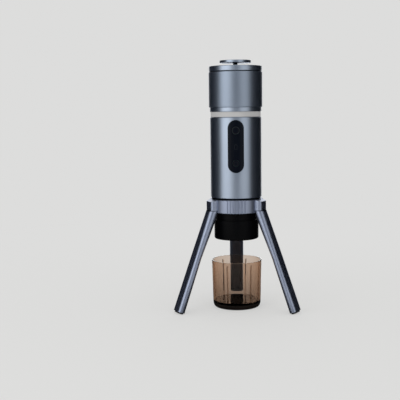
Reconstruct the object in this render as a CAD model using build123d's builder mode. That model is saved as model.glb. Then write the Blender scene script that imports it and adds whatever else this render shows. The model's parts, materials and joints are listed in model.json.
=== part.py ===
"""Portable espresso machine on a folding tripod, with its cup.

Millimetres, +Z up. The origin is on the table, under the machine's axis, and -Y is the front.
"""
import os
from math import cos, radians, sin

from build123d import *

os.makedirs("parts", exist_ok=True)

# Clearances that several pieces share
overrun = 2.0           # how far a cut runs past the face that it leaves
slip = 0.10             # room between pieces of one body that slip together
run_fit = 0.06          # radial room of a pin, shaft or screwed neck that turns
clear = 0.35            # room between pieces that move past each other

# Tripod
back_azimuth = 90.0     # of the leg at the back, in degrees
leg_count = 3
leg_pitch = 360 / leg_count
leg_azimuths = {"left": back_azimuth + leg_pitch, "right": back_azimuth - leg_pitch, "back": back_azimuth}
leg_splay = 20.6        # lean of a leg that is set down, in degrees
leg_fold = 12.0         # how far a leg folds in, in degrees
leg_length = 148.5      # from the hinge pin to the cut end
leg_top_width = 19.0    # of the flat oval section, around the machine
leg_top_depth = 14.8    # and away from the machine, thicker on the inner side
leg_waist_drop = 72.0   # from the hinge pin to the slimmest place
leg_waist_width = 19.5
leg_waist_depth = 9.4
leg_end_width = 20.2
leg_end_depth = 10.6
leg_wall = 1.5
leg_cap_length = 12.0   # solid stretch under the hinge
hinge_radius = 37.6     # from the machine's axis to the hinge pin
hinge_pin_radius = 1.25
tongue_width = 4.6      # of the leg's tongue, seen from the side
tongue_thickness = 5.0
foot_plug_depth = 8.0
foot_stand_out = 2.0    # of the rubber foot, past the end of the leg
foot_flat_depth = 0.8   # what the table face cuts off the foot's lowest edge
foot_edge = 0.5
bumper_radius = 1.9
bumper_drop = 18.3      # below the hinge pin, along the leg
lug_width = 19.6
lug_depth = 11.4
lug_wall = 1.2          # outside the tongue
lug_height = 12.2
lug_drop = 5.0          # from the hinge pin down to the lug's lower face
lug_roof = 2.0
collar_radius = 36.5
collar_wall = 7.2
collar_height = 18.0
collar_skirt = 3.5      # below the lugs
collar_edge = 0.6
knurl_count = 7         # grooves in each stretch between two lugs
knurl_pitch = 6.2       # in degrees
knurl_radius = 0.8

# Main body
body_radius = 34.8
body_wall = 1.8
body_length = 109.0
body_edge = 0.8
base_rim_height = 2.0   # the dark line between body and collar
base_rim_inset = 1.2
base_plug_height = 6.0
frost_inset = 0.8       # of the frosted ring, from the outside of the body
frost_wall = 3.0
frost_height = 7.2
deck_plug_height = 6.0
deck_floor = 3.0
deck_wall = 4.0

# Water tank
tank_ring_step = 0.2    # past the outside of the body
tank_ring_height = 5.7
tank_shelf_height = 2.7
tank_shelf_width = 4.0
sleeve_step = 1.4       # past the outside of the body
sleeve_wall = 1.8
sleeve_height = 47.3
sleeve_edge = 0.5
liner_inset = 5.2       # of the liner, from the outside of the sleeve
liner_wall = 1.0
liner_drop = 1.0        # of the liner's rim below the sleeve's
tank_rim_height = 5.0
heater_inset = 7.0      # from the outside of the liner
heater_height = 2.4

# Lid and its vent knob
lid_step = 1.0          # past the outside of the body
lid_height = 8.2
lid_gap = 0.8           # the dark groove under the lid
lid_edge = 0.9
lid_top = 2.6
plug_depth = 9.0
plug_wall = 2.2
seal_section = 1.6
seal_rise = 3.0         # of the seal ring, above the plug's end
knob_radius = 21.2
knob_height = 3.3
knob_gap = 3.2          # from the lid up to the raised knob
knob_travel = 2.5
knob_edge = 1.0
stem_radius = 4.6
stem_shank_radius = 3.0
stem_foot_radius = 5.4
stem_foot_height = 1.5

# Control panel
panel_width = 21.2
panel_length = 70.2
panel_drop = 4.0        # from the body's upper end down to the panel
panel_proud = 0.25
panel_depth = 3.6
panel_flange = 1.6
panel_gap = 0.15
power_radius = 5.2
power_drop = 13.8       # from the panel's upper end to the power button
brew_radius = 4.6
brew_rise = 13.0        # from the panel's lower end to the brew button
button_travel = 0.6
button_depth = 2.6
button_stem_radius = 1.6
switch_side = 4.0
switch_height = 1.4
board_thickness = 1.6
board_width = 17.0
board_inset = 5.2       # of the control board's front face, from the body's bore
board_top_gap = 1.0

# Battery and charging
cell_share = 0.2788     # of the body's bore, for the radius of a cell
cell_length = 65.0
cell_button_radius = 2.8
cell_button_height = 0.8
cell_inset = 1.8        # from the body's bore
cell_spread = 65.0      # from cell to cell around the axis, in degrees
cell_turns = {"left": cell_spread, "back": 0, "right": -cell_spread}
cell_azimuths = {side: back_azimuth + turned for side, turned in cell_turns.items()}
carrier_height = 4.0
carrier_pocket = 1.8
charge_gap = 3.0        # from the charge socket up to the deck
charge_board_width = 14.0
charge_board_depth = 11.0
usb_width = 8.9
usb_height = 3.2
usb_depth = 7.6
usb_wall = 0.35
usb_gap = 0.25

# Gear pump and its motor
pump_y = -9.0           # of the motor's axis
gear_teeth = 12
gear_pitch_radius = 5.0
gear_tip_radius = 5.75
gear_root_radius = 4.1
gear_width = 8.0
tooth_root_share = 0.58  # of the tooth's pitch that the tooth takes up, at its root
tooth_tip_share = 0.22   # and at its tip
shaft_radius = 1.5
shaft_stub = 1.6        # of a shaft, into its bearing
pump_wall = 1.7
pump_floor = 3.0
pump_cover_height = 3.0
motor_radius = 11.0
motor_length = 33.0
motor_shaft_depth = 9.0
motor_edge = 1.0
tube_radius = 2.0
tube_bore = 1.1
tube_inset = 9.5        # of the inlet tube's axis, from the body's bore
tube_bend = 6.0
delivery_x = 3.9
delivery_depth = 10.0   # into the brew head

# Brew head and coffee holder
brew_flange_height = 6.0
spigot_radius = 25.0
spigot_length = 28.0
screw_radius = 1.25
screw_head_radius = 1.7
screw_head_height = 1.6
screw_length = 10.0
screw_azimuths = [azimuth + leg_pitch / 2 for azimuth in leg_azimuths.values()]
gasket_width = 4.5
gasket_height = 1.4
shower_radius = 18.5
shower_height = 1.2
shower_hole_radius = 0.6
shower_rings = {6: 5.5, 12: 10.5, 18: 15.5}   # holes in a ring and the ring's radius
holder_gap = 0.6        # from the collar down to the holder
holder_radius = 30.4
holder_neck_radius = 28.2
holder_neck_height = 9.8
holder_height = 36.6
holder_floor = 5.2
holder_edge = 2.2
basket_radius = 22.0
basket_wall = 0.8
basket_rim = 1.8
basket_stand = 2.5      # of the basket's floor above the holder's
basket_hole_radius = 0.7
basket_rings = {6: 4.5, 12: 9.0, 18: 13.5}
outlet_radius = 5.0
outlet_bore = 2.5
outlet_drop = 4.0       # below the holder
outlet_flange = 7.0
outlet_flange_height = 1.2

# Cup
cup_radius = 34.4
cup_foot_radius = 32.8  # where the wall meets the base
cup_height = 65.6
cup_wall = 2.0
cup_floor = 2.4
cup_base_height = 7.0
cup_base_radius = 28.4
cup_base_wall = 2.2
cup_rib_count = 6
cup_rib_phase = 7.0     # azimuth of the first rib, in degrees
cup_rib_width = 1.8
cup_rib_height = 1.5
cup_rib_drop = 4.5      # below the rim
cup_rim_edge = 0.7

# Heights above the table, worked up from the feet
lean_sin = sin(radians(leg_splay))
lean_cos = cos(radians(leg_splay))
foot_depth = leg_end_depth - 2 * (leg_wall + slip)
foot_width = leg_end_width - 2 * (leg_wall + slip)
leg_end_z = foot_stand_out * lean_cos + foot_depth / 2 * lean_sin - foot_flat_depth
hinge_z = leg_end_z + leg_length * lean_cos
lug_z = hinge_z - lug_drop
collar_z = lug_z - collar_skirt
collar_top_z = collar_z + collar_height
body_z = collar_top_z + base_rim_height
base_top_z = body_z + base_plug_height
body_top_z = body_z + body_length
frost_top_z = body_top_z + frost_height
shelf_top_z = frost_top_z + tank_shelf_height
tank_ring_top_z = frost_top_z + tank_ring_height
sleeve_top_z = tank_ring_top_z + sleeve_height
lid_z = sleeve_top_z + lid_gap
lid_top_z = lid_z + lid_height
knob_z = lid_top_z + knob_gap
deck_z = body_top_z - deck_plug_height
holder_top_z = collar_z - holder_gap
holder_z = holder_top_z - holder_height
spigot_z = collar_top_z - brew_flange_height - spigot_length
cell_top_z = base_top_z + cell_length
carrier_top_z = cell_top_z + carrier_height
charge_z = deck_z - charge_gap - usb_height - board_thickness

# Radii that follow the body's
body_bore = body_radius - body_wall
collar_bore = collar_radius - collar_wall
frost_radius = body_radius - frost_inset
tank_ring_radius = body_radius + tank_ring_step
sleeve_radius = body_radius + sleeve_step
liner_radius = sleeve_radius - liner_inset
heater_radius = liner_radius - heater_inset
lid_radius = body_radius + lid_step
cell_radius = cell_share * body_bore


def keep(builder, name):
    """Label a finished piece and write it as its own file."""
    builder.part.label = name
    export_step(builder.part, f"parts/{name}.step")


def turn(*outline, axis=Axis.Z, plane=Plane.XZ, mode=Mode.ADD):
    """Turn a closed outline of (radius, height) points about an axis, into the piece in hand."""
    with BuildSketch(plane) as profile:
        with BuildLine():
            Polyline(*outline, close=True)
        make_face()
    revolve(profile.sketch, axis=axis, mode=mode)


def tube(outer, inner, low, high, mode=Mode.ADD):
    """Add a plain ring between two radii and two heights."""
    turn((inner, low), (outer, low), (outer, high), (inner, high), mode=mode)


def disc(radius, low, high, mode=Mode.ADD):
    """Add a plain round plate between two heights, on the machine's axis."""
    tube(radius, 0, low, high, mode)


def post(x, y, radius, low, high, mode=Mode.ADD):
    """Add or cut an upright round post at a place off the axis."""
    with BuildSketch(Plane.XY.offset(low)) as section:
        with Locations((x, y)):
            Circle(radius)
    extrude(section.sketch, amount=high - low, mode=mode)


def polar(radius, azimuth):
    """Give the x and y of a point at a radius and an azimuth in degrees."""
    return radius * cos(radians(azimuth)), radius * sin(radians(azimuth))


def side_plane(azimuth, lean):
    """Give the upright plane through a hinge pin, its x outwards and its y up, leaned out by an angle."""
    r_x, r_y = polar(1, azimuth)
    out = Vector(r_x, r_y, 0) * cos(radians(lean)) + Vector(0, 0, 1) * sin(radians(lean))
    x, y = polar(hinge_radius, azimuth)
    return Plane(origin=(x, y, hinge_z), x_dir=out, z_dir=(r_y, -r_x, 0))


# Tripod collar: a knurled ring with a slotted, sloping lug for each leg and a notch under it
slot_half = tongue_thickness / 2 + slip
slot_in = tongue_width / 2 + clear
slot_out = lug_depth / 2 - lug_wall
slot_top = lug_height - lug_drop - lug_roof
slot_low = -lug_drop - overrun
notch_in = leg_waist_depth / 2
slope_in = hinge_radius - collar_bore - collar_wall / 2
slope_top = collar_top_z - hinge_z
slope_low = lug_height - lug_drop
slope_end = lug_depth / 2
slope = (slope_top - slope_low) / (slope_in + slope_end)
with BuildPart() as tripod_collar:
    tube(collar_radius, collar_bore, collar_z, collar_top_z)
    rims = tripod_collar.edges().group_by(Axis.Z)
    chamfer(rims[0].sort_by(SortBy.RADIUS)[-1:] + rims[-1].sort_by(SortBy.RADIUS)[-1:], collar_edge)
    for azimuth in leg_azimuths.values():
        x, y = polar(hinge_radius, azimuth)
        middle = hinge_radius - slope_in / 2
        with BuildSketch(Plane.XY.offset(lug_z)) as lug_outline:
            with Locations(Location((x, y, 0), azimuth)):
                SlotOverall(lug_width, lug_depth, rotation=90)
            with Locations(Location((*polar(middle, azimuth), 0), azimuth)):
                Rectangle(slope_in, lug_width)
            Circle(collar_bore + collar_wall / 2, mode=Mode.SUBTRACT)
        extrude(lug_outline.sketch, amount=collar_top_z - lug_z)
    for azimuth in leg_azimuths.values():
        upright = side_plane(azimuth, 0)
        with BuildSketch(upright) as slope_outline:
            with BuildLine():
                Polyline(
                    (-slope_in, slope_top), (slope_end + overrun, slope_low - slope * overrun),
                    (slope_end + overrun, slope_top + overrun), (-slope_in, slope_top + overrun),
                    close=True,
                )
            make_face()
        extrude(slope_outline.sketch, amount=lug_width, both=True, mode=Mode.SUBTRACT)
        with BuildSketch(upright) as slot_outline:
            with Locations(((slot_out - slot_in) / 2, (slot_top + slot_low) / 2)):
                Rectangle(slot_out + slot_in, slot_top - slot_low)
        extrude(slot_outline.sketch, amount=slot_half, both=True, mode=Mode.SUBTRACT)
        with BuildSketch(upright) as pin_hole:
            Circle(hinge_pin_radius + run_fit)
        extrude(pin_hole.sketch, amount=lug_width / 2 + overrun, both=True, mode=Mode.SUBTRACT)
        with BuildSketch(upright) as leg_notch:
            with Locations((lug_width / 2 - notch_in, -lug_drop - collar_skirt)):
                Rectangle(lug_width, 2 * collar_skirt)
        extrude(leg_notch.sketch, amount=leg_waist_width / 2 + clear, both=True, mode=Mode.SUBTRACT)
    with BuildSketch(Plane.XY.offset(collar_z - overrun)) as knurls:
        for azimuth in leg_azimuths.values():
            first = azimuth + 180 - knurl_pitch * (knurl_count - 1) / 2
            with PolarLocations(collar_radius, knurl_count, first, knurl_pitch * knurl_count):
                Circle(knurl_radius)
    extrude(knurls.sketch, amount=collar_height + 2 * overrun, mode=Mode.SUBTRACT)
keep(tripod_collar, "tripod_collar")

with BuildPart() as hinge_pins:
    for azimuth in leg_azimuths.values():
        with BuildSketch(side_plane(azimuth, 0)) as pin_section:
            Circle(hinge_pin_radius)
        extrude(pin_section.sketch, amount=lug_width / 2 - slip, both=True)
keep(hinge_pins, "hinge_pins")

# Legs: hollow flat oval tubes that hang on a tongue, with a rubber foot and a bumper
shoulder = lug_drop + slip
reach = leg_end_width / 2 + overrun
relief_drop = lug_drop + collar_skirt
plug_top = leg_length - foot_plug_depth
foot_end = leg_length + foot_stand_out
folded_lean = radians(leg_splay - leg_fold)
bumper_tip = (hinge_radius + bumper_drop * sin(folded_lean) - holder_radius - clear) / cos(folded_lean)


def leg_shape(drop):
    """Give a leg's width, its depth and the place of its middle, at a distance below the hinge pin."""
    upper = min(drop, leg_waist_drop) / leg_waist_drop
    lower = max(drop - leg_waist_drop, 0) / (leg_length - leg_waist_drop)
    width = leg_top_width + (leg_waist_width - leg_top_width) * upper
    width += (leg_end_width - leg_waist_width) * lower
    depth = leg_top_depth + (leg_waist_depth - leg_top_depth) * upper
    depth += (leg_end_depth - leg_waist_depth) * lower
    outer = (leg_waist_depth + (leg_end_depth - leg_waist_depth) * lower) / 2
    return width, depth, outer - depth / 2


def cross_plane(leaned, drop):
    """Give the plane across a leg, at a distance below its hinge pin, its x around the machine."""
    return Plane(leaned.from_local_coords((0, -drop)), x_dir=leaned.z_dir, z_dir=leaned.y_dir)


def leg_section(leaned, drop, wall):
    """Draw the leg's flat oval at a distance below the pin, inset by a wall, and give the sketch."""
    width, depth, middle = leg_shape(drop)
    with BuildSketch(cross_plane(leaned, drop)) as section:
        with Locations((0, middle)):
            SlotOverall(width - 2 * wall, depth - 2 * wall)
    return section.sketch


bumper_leg = leg_shape(bumper_drop)
bumper_seat = bumper_leg[1] / 2 - bumper_leg[2] - leg_wall
for side, azimuth in leg_azimuths.items():
    leaned = side_plane(azimuth, leg_splay)
    with BuildPart() as leg:
        outer_drops = (shoulder, leg_waist_drop, leg_length)
        loft([leg_section(leaned, drop, 0) for drop in outer_drops], ruled=True)
        inner_drops = (leg_cap_length, leg_waist_drop, plug_top)
        inner_sections = [leg_section(leaned, drop, leg_wall) for drop in inner_drops]
        loft(inner_sections, ruled=True, mode=Mode.SUBTRACT)
        with BuildSketch(cross_plane(leaned, plug_top)) as foot_socket:
            SlotOverall(foot_width + 2 * slip, foot_depth + 2 * slip)
        extrude(foot_socket.sketch, amount=-foot_plug_depth - overrun, mode=Mode.SUBTRACT)
        with BuildSketch(leaned) as relief:
            with Locations((-notch_in - reach, 0)):
                Rectangle(2 * reach, 2 * relief_drop)
        extrude(relief.sketch, amount=reach, both=True, mode=Mode.SUBTRACT)
        for tilt in (0, leg_fold):
            with BuildSketch(side_plane(azimuth, tilt)) as stop_cut:
                with Locations((0, lug_drop)):
                    Rectangle(2 * reach, 2 * (shoulder + lug_drop))
            extrude(stop_cut.sketch, amount=reach, both=True, mode=Mode.SUBTRACT)
        with BuildSketch(leaned) as tongue_outline:
            Circle(tongue_width / 2)
            with Locations((0, -shoulder)):
                Rectangle(tongue_width, 2 * shoulder)
            Circle(hinge_pin_radius + run_fit, mode=Mode.SUBTRACT)
        extrude(tongue_outline.sketch, amount=tongue_thickness / 2, both=True)
        bumper_place = leaned.from_local_coords((0, -bumper_drop))
        bumper_face = Plane(bumper_place, x_dir=leaned.z_dir, z_dir=-leaned.x_dir)
        with BuildSketch(bumper_face) as bumper_hole:
            Circle(bumper_radius + slip)
        extrude(bumper_hole.sketch, amount=reach, mode=Mode.SUBTRACT)
    keep(leg, f"leg_{side}")

    with BuildPart() as foot:
        with BuildSketch(cross_plane(leaned, plug_top + slip)) as foot_outline:
            SlotOverall(foot_width, foot_depth)
        extrude(foot_outline.sketch, amount=plug_top + slip - foot_end)
        end_face = foot.faces().sort_by(Axis(leaned.origin, leaned.y_dir))[0]
        chamfer(end_face.edges(), foot_edge)
        with BuildSketch(Plane.XY) as table:
            Circle(2 * (hinge_radius + leg_length))
        extrude(table.sketch, amount=-leg_end_width, mode=Mode.SUBTRACT)
    keep(foot, f"foot_{side}")

    with BuildPart() as bumper:
        turn(
            (0, bumper_seat), (bumper_radius, bumper_seat), (bumper_radius, bumper_tip - foot_edge),
            (bumper_radius - foot_edge, bumper_tip), (0, bumper_tip),
            axis=Axis(bumper_face.origin, bumper_face.z_dir),
            plane=Plane(bumper_face.origin, x_dir=leaned.y_dir, z_dir=leaned.z_dir),
        )
    keep(bumper, f"bumper_{side}")

# Main body: the tube, its base plate, the frosted ring above it and the deck inside
panel_top_z = body_top_z - panel_drop
panel_middle_z = panel_top_z - panel_length / 2
front = Plane(origin=(0, 0, panel_middle_z), x_dir=(1, 0, 0), z_dir=(0, -1, 0))
usb_z = charge_z + board_thickness + usb_height / 2
back = Plane(origin=(0, 0, usb_z), x_dir=(-1, 0, 0), z_dir=(0, 1, 0))
with BuildPart() as body_tube:
    tube(body_radius, body_bore, body_z, body_top_z)
    rims = body_tube.edges().group_by(Axis.Z)
    chamfer(rims[0].sort_by(SortBy.RADIUS)[-1:] + rims[-1].sort_by(SortBy.RADIUS)[-1:], body_edge)
    with BuildSketch(front) as window:
        SlotOverall(panel_length, panel_width + 2 * panel_gap, rotation=90)
    extrude(window.sketch, amount=body_radius + overrun, mode=Mode.SUBTRACT)
    with BuildSketch(back) as usb_window:
        SlotOverall(usb_width + 2 * usb_gap, usb_height + 2 * usb_gap)
    extrude(usb_window.sketch, amount=body_radius + overrun, mode=Mode.SUBTRACT)
keep(body_tube, "body_tube")

inlet_x = -(body_bore - tube_inset)
mesh_y = pump_y + gear_pitch_radius
with BuildPart() as base_plate:
    disc(body_radius - base_rim_inset, collar_top_z, body_z)
    disc(body_bore - slip, body_z, base_top_z)
    hole_low = collar_top_z - overrun
    post(delivery_x, mesh_y, tube_radius + slip, hole_low, base_top_z + overrun, Mode.SUBTRACT)
    for azimuth in screw_azimuths:
        x, y = polar((spigot_radius + collar_bore) / 2, azimuth)
        post(x, y, screw_radius + slip, collar_top_z - overrun, base_top_z - slip, Mode.SUBTRACT)
keep(base_plate, "base_plate")

with BuildPart() as frosted_ring:
    tube(frost_radius, frost_radius - frost_wall, body_top_z, frost_top_z)
keep(frosted_ring, "frosted_ring")

deck_radius = frost_radius - frost_wall - slip
with BuildPart() as mid_deck:
    disc(body_bore - slip, deck_z, body_top_z)
    disc(deck_radius, body_top_z, frost_top_z)
    disc(deck_radius - deck_wall, deck_z + deck_floor, frost_top_z + overrun, Mode.SUBTRACT)
    post(inlet_x, mesh_y, tube_radius + slip, deck_z - overrun, frost_top_z + overrun, Mode.SUBTRACT)
    rim = panel_flange + slip
    with BuildSketch(front.offset(body_bore - board_inset)) as panel_notch:
        SlotOverall(panel_length + 2 * rim, panel_width + 2 * rim, rotation=90)
    extrude(panel_notch.sketch, amount=body_bore, mode=Mode.SUBTRACT)
keep(mid_deck, "mid_deck")

# Water tank: ring, sleeve, steel liner, rim and heater
with BuildPart() as tank_ring:
    turn(
        (liner_radius - tank_shelf_width, frost_top_z), (tank_ring_radius, frost_top_z),
        (tank_ring_radius, tank_ring_top_z), (liner_radius + slip, tank_ring_top_z),
        (liner_radius + slip, shelf_top_z), (liner_radius - tank_shelf_width, shelf_top_z),
    )
keep(tank_ring, "tank_ring")

sleeve_bore = sleeve_radius - sleeve_wall
with BuildPart() as tank_sleeve:
    tube(sleeve_radius, sleeve_bore, tank_ring_top_z, sleeve_top_z)
    rims = tank_sleeve.edges().group_by(Axis.Z)
    chamfer(rims[0].sort_by(SortBy.RADIUS)[-1:] + rims[-1].sort_by(SortBy.RADIUS)[-1:], sleeve_edge)
keep(tank_sleeve, "tank_sleeve")

liner_bore = liner_radius - liner_wall
liner_top_z = sleeve_top_z - liner_drop
with BuildPart() as tank_liner:
    disc(liner_radius, shelf_top_z, liner_top_z)
    disc(liner_bore, shelf_top_z + liner_wall, liner_top_z + overrun, Mode.SUBTRACT)
    floor_top = shelf_top_z + liner_wall
    post(inlet_x, mesh_y, tube_bore, shelf_top_z - overrun, floor_top + overrun, Mode.SUBTRACT)
keep(tank_liner, "tank_liner")

with BuildPart() as tank_rim:
    tube(sleeve_bore - slip, liner_radius + slip, liner_top_z - tank_rim_height, liner_top_z)
keep(tank_rim, "tank_rim")

with BuildPart() as heater_plate:
    disc(heater_radius, shelf_top_z - heater_height, shelf_top_z)
    post(inlet_x, mesh_y, tube_radius + slip, frost_top_z - overrun, shelf_top_z + overrun, Mode.SUBTRACT)
keep(heater_plate, "heater_plate")

# Lid: cap, plug and seal, with the vent knob on its stem
plug_z = lid_z - plug_depth
lid_plug_radius = liner_bore - seal_section / 2 - clear
shank_hole = stem_shank_radius + run_fit
with BuildPart() as lid_cap:
    disc(lid_radius, lid_z, lid_top_z)
    chamfer(lid_cap.edges().group_by(Axis.Z)[-1], lid_edge)
    disc(shank_hole, lid_z - overrun, lid_top_z + overrun, Mode.SUBTRACT)
    disc(stem_foot_radius + clear, lid_z - overrun, lid_top_z - lid_top, Mode.SUBTRACT)
keep(lid_cap, "lid_cap")

seal_z = plug_z + seal_rise
with BuildPart() as lid_plug:
    disc(lid_radius - lid_gap, lid_z - lid_gap + clear, lid_z)
    disc(lid_plug_radius, plug_z, lid_z)
    disc(lid_plug_radius - plug_wall, plug_z - overrun, lid_z - plug_wall, Mode.SUBTRACT)
    groove = lid_plug_radius - seal_section / 2
    tube(lid_plug_radius + overrun, groove, seal_z, seal_z + seal_section, Mode.SUBTRACT)
    disc(stem_foot_radius + clear, lid_z - plug_wall - overrun, lid_z + overrun, Mode.SUBTRACT)
keep(lid_plug, "lid_plug")

with BuildPart() as lid_seal:
    with BuildSketch(Plane.XZ) as seal_profile:
        with Locations((lid_plug_radius, seal_z + seal_section / 2)):
            Circle(seal_section / 2 - slip / 2)
    revolve(seal_profile.sketch, axis=Axis.Z)
keep(lid_seal, "lid_seal")

with BuildPart() as knob_disc:
    disc(knob_radius, knob_z, knob_z + knob_height)
    fillet(knob_disc.edges().filter_by(GeomType.CIRCLE).sort_by(Axis.Z)[-1], knob_edge)
    chamfer(knob_disc.edges().group_by(Axis.Z)[0], knob_edge / 2)
keep(knob_disc, "knob_disc")

foot_top_z = lid_top_z - lid_top - clear
foot_z = foot_top_z - stem_foot_height
stop_z = lid_top_z + knob_travel + clear
with BuildPart() as knob_stem:
    turn(
        (0, foot_z), (stem_foot_radius, foot_z), (stem_foot_radius, foot_top_z),
        (stem_shank_radius, foot_top_z), (stem_shank_radius, stop_z), (stem_radius, stop_z),
        (stem_radius, knob_z), (0, knob_z),
    )
keep(knob_stem, "knob_stem")

# Control panel: a glossy pill in the body's window, two buttons, their switches and the board
face_radius = body_radius + panel_proud
panel_bore = face_radius - panel_depth
beyond = face_radius + panel_length
buttons = {
    "power_button": (panel_length / 2 - power_drop, power_radius),
    "brew_button": (brew_rise - panel_length / 2, brew_radius),
}
with BuildPart() as panel:
    with BuildSketch(front) as flange_outline:
        rim = panel_flange - panel_gap
        SlotOverall(panel_length + 2 * rim, panel_width + 2 * panel_flange, rotation=90)
    extrude(flange_outline.sketch, amount=beyond)
    tube(2 * beyond, body_bore - slip, body_z, frost_top_z, Mode.SUBTRACT)
    with BuildSketch(front) as face_outline:
        SlotOverall(panel_length - 2 * panel_gap, panel_width, rotation=90)
    extrude(face_outline.sketch, amount=beyond)
    tube(2 * beyond, face_radius, body_z, frost_top_z, Mode.SUBTRACT)
    disc(panel_bore, body_z, frost_top_z, Mode.SUBTRACT)
    with BuildSketch(front) as button_holes:
        for height, radius in buttons.values():
            with Locations((0, height)):
                Circle(radius)
    extrude(button_holes.sketch, amount=beyond, mode=Mode.SUBTRACT)
keep(panel, "panel")

board_front = body_bore - board_inset
switch_front = board_front + switch_height
cap_back = face_radius - button_depth
stem_end = switch_front + button_travel + clear
for name, (height, radius) in buttons.items():
    with BuildPart() as button:
        with BuildSketch(front.offset(cap_back)) as cap_outline:
            with Locations((0, height)):
                Circle(radius - clear)
        extrude(cap_outline.sketch, amount=button_depth + overrun)
        tube(2 * beyond, face_radius, body_z, frost_top_z, Mode.SUBTRACT)
        with BuildSketch(front.offset(stem_end)) as stem_outline:
            with Locations((0, height)):
                Circle(button_stem_radius)
        extrude(stem_outline.sketch, amount=cap_back - stem_end)
    keep(button, name)

board_height = deck_z - board_top_gap - base_top_z
with BuildPart() as control_board:
    with BuildSketch(Plane.XY.offset(base_top_z)):
        with Locations((0, board_thickness / 2 - board_front)):
            Rectangle(board_width, board_thickness)
    extrude(amount=board_height)
keep(control_board, "control_board")

with BuildPart() as button_switches:
    with BuildSketch(front.offset(board_front)):
        for height, radius in buttons.values():
            with Locations((0, height)):
                Rectangle(switch_side, switch_side)
    extrude(amount=switch_height)
keep(button_switches, "button_switches")

# Battery: three cells, the carrier on top of them, the charge board and its socket
cell_ring = body_bore - cell_inset - cell_radius
for side, azimuth in cell_azimuths.items():
    x, y = polar(cell_ring, azimuth)
    with BuildPart() as cell:
        post(x, y, cell_radius, base_top_z, cell_top_z - cell_button_height)
        post(x, y, cell_button_radius, cell_top_z - cell_button_height, cell_top_z)
    keep(cell, f"battery_cell_{side}")

pocket_z = cell_top_z - carrier_pocket
charge_back = body_bore - cell_inset
charge_middle = charge_back - charge_board_depth / 2
board_back = board_front - board_thickness - slip
with BuildPart() as cell_carrier:
    disc(body_bore - slip, pocket_z, carrier_top_z)
    for azimuth in cell_azimuths.values():
        x, y = polar(cell_ring, azimuth)
        post(x, y, cell_radius + slip, pocket_z - overrun, cell_top_z, Mode.SUBTRACT)
    post(inlet_x, mesh_y, tube_radius + slip, pocket_z - overrun, carrier_top_z + overrun, Mode.SUBTRACT)
    with BuildSketch(Plane.XY.offset(pocket_z - overrun)) as front_cut:
        with Locations((0, -board_back - body_bore)):
            Rectangle(2 * body_bore, 2 * body_bore)
    extrude(front_cut.sketch, amount=carrier_height + carrier_pocket + 2 * overrun, mode=Mode.SUBTRACT)
    with BuildSketch(Plane.XY.offset(carrier_top_z)) as charge_post:
        with Locations((0, charge_middle)):
            Rectangle(charge_board_width, charge_board_depth)
    extrude(charge_post.sketch, amount=charge_z - carrier_top_z)
keep(cell_carrier, "cell_carrier")

with BuildPart() as charge_board:
    with BuildSketch(Plane.XY.offset(charge_z)):
        with Locations((0, charge_middle)):
            Rectangle(charge_board_width, charge_board_depth)
    extrude(amount=board_thickness)
keep(charge_board, "charge_board")

with BuildPart() as usb_socket:
    with BuildSketch(back.offset(body_radius - panel_gap - usb_depth)) as shell_outline:
        SlotOverall(usb_width, usb_height)
    extrude(shell_outline.sketch, amount=usb_depth)
    with BuildSketch(back.offset(body_radius - panel_gap - usb_depth + usb_height)) as mouth_outline:
        SlotOverall(usb_width - 2 * usb_wall, usb_height - 2 * usb_wall)
        Rectangle(usb_width - usb_height, usb_height / 4, mode=Mode.SUBTRACT)
    extrude(mouth_outline.sketch, amount=usb_depth, mode=Mode.SUBTRACT)
keep(usb_socket, "usb_socket")

# Gear pump: housing, cover, two gears in mesh, and the motor on top
chamber_radius = gear_tip_radius + clear
pump_half = chamber_radius + pump_wall
gear_z = base_top_z + pump_floor + slip
gear_top_z = gear_z + gear_width
cover_z = gear_top_z + slip
motor_z = cover_z + pump_cover_height
port_z = gear_z + gear_width / 2
idler_y = pump_y + 2 * gear_pitch_radius
bearing = shaft_radius + run_fit


def pump_outline(low, height):
    """Add the pump's long outline between its two gear axes, as a plate."""
    with BuildSketch(Plane.XY.offset(low)) as outline:
        with Locations((0, mesh_y)):
            SlotCenterToCenter(2 * gear_pitch_radius, 2 * pump_half, rotation=90)
    extrude(outline.sketch, amount=height)


with BuildPart() as pump_housing:
    pump_outline(base_top_z, cover_z - base_top_z)
    for y in (pump_y, idler_y):
        post(0, y, chamber_radius, gear_z - slip, cover_z + overrun, Mode.SUBTRACT)
        post(0, y, bearing, gear_z - 2 * slip - shaft_stub, cover_z, Mode.SUBTRACT)
    post(delivery_x, mesh_y, tube_bore, base_top_z - overrun, gear_z, Mode.SUBTRACT)
    with BuildSketch(Plane(origin=(-pump_half - overrun, mesh_y, port_z), z_dir=(1, 0, 0))) as inlet_port:
        Circle(tube_bore)
    extrude(inlet_port.sketch, amount=pump_half, mode=Mode.SUBTRACT)
keep(pump_housing, "pump_housing")

with BuildPart() as pump_cover:
    pump_outline(cover_z, pump_cover_height)
    post(0, pump_y, bearing, cover_z - overrun, motor_z + overrun, Mode.SUBTRACT)
    post(0, idler_y, bearing, cover_z - overrun, gear_top_z + shaft_stub + 2 * slip, Mode.SUBTRACT)
keep(pump_cover, "pump_cover")

with BuildPart() as pump_motor:
    post(0, pump_y, motor_radius, motor_z, motor_z + motor_length)
    chamfer(pump_motor.edges(), motor_edge)
    post(0, pump_y, bearing, motor_z - overrun, motor_z + motor_shaft_depth + slip, Mode.SUBTRACT)
keep(pump_motor, "pump_motor")


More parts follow.
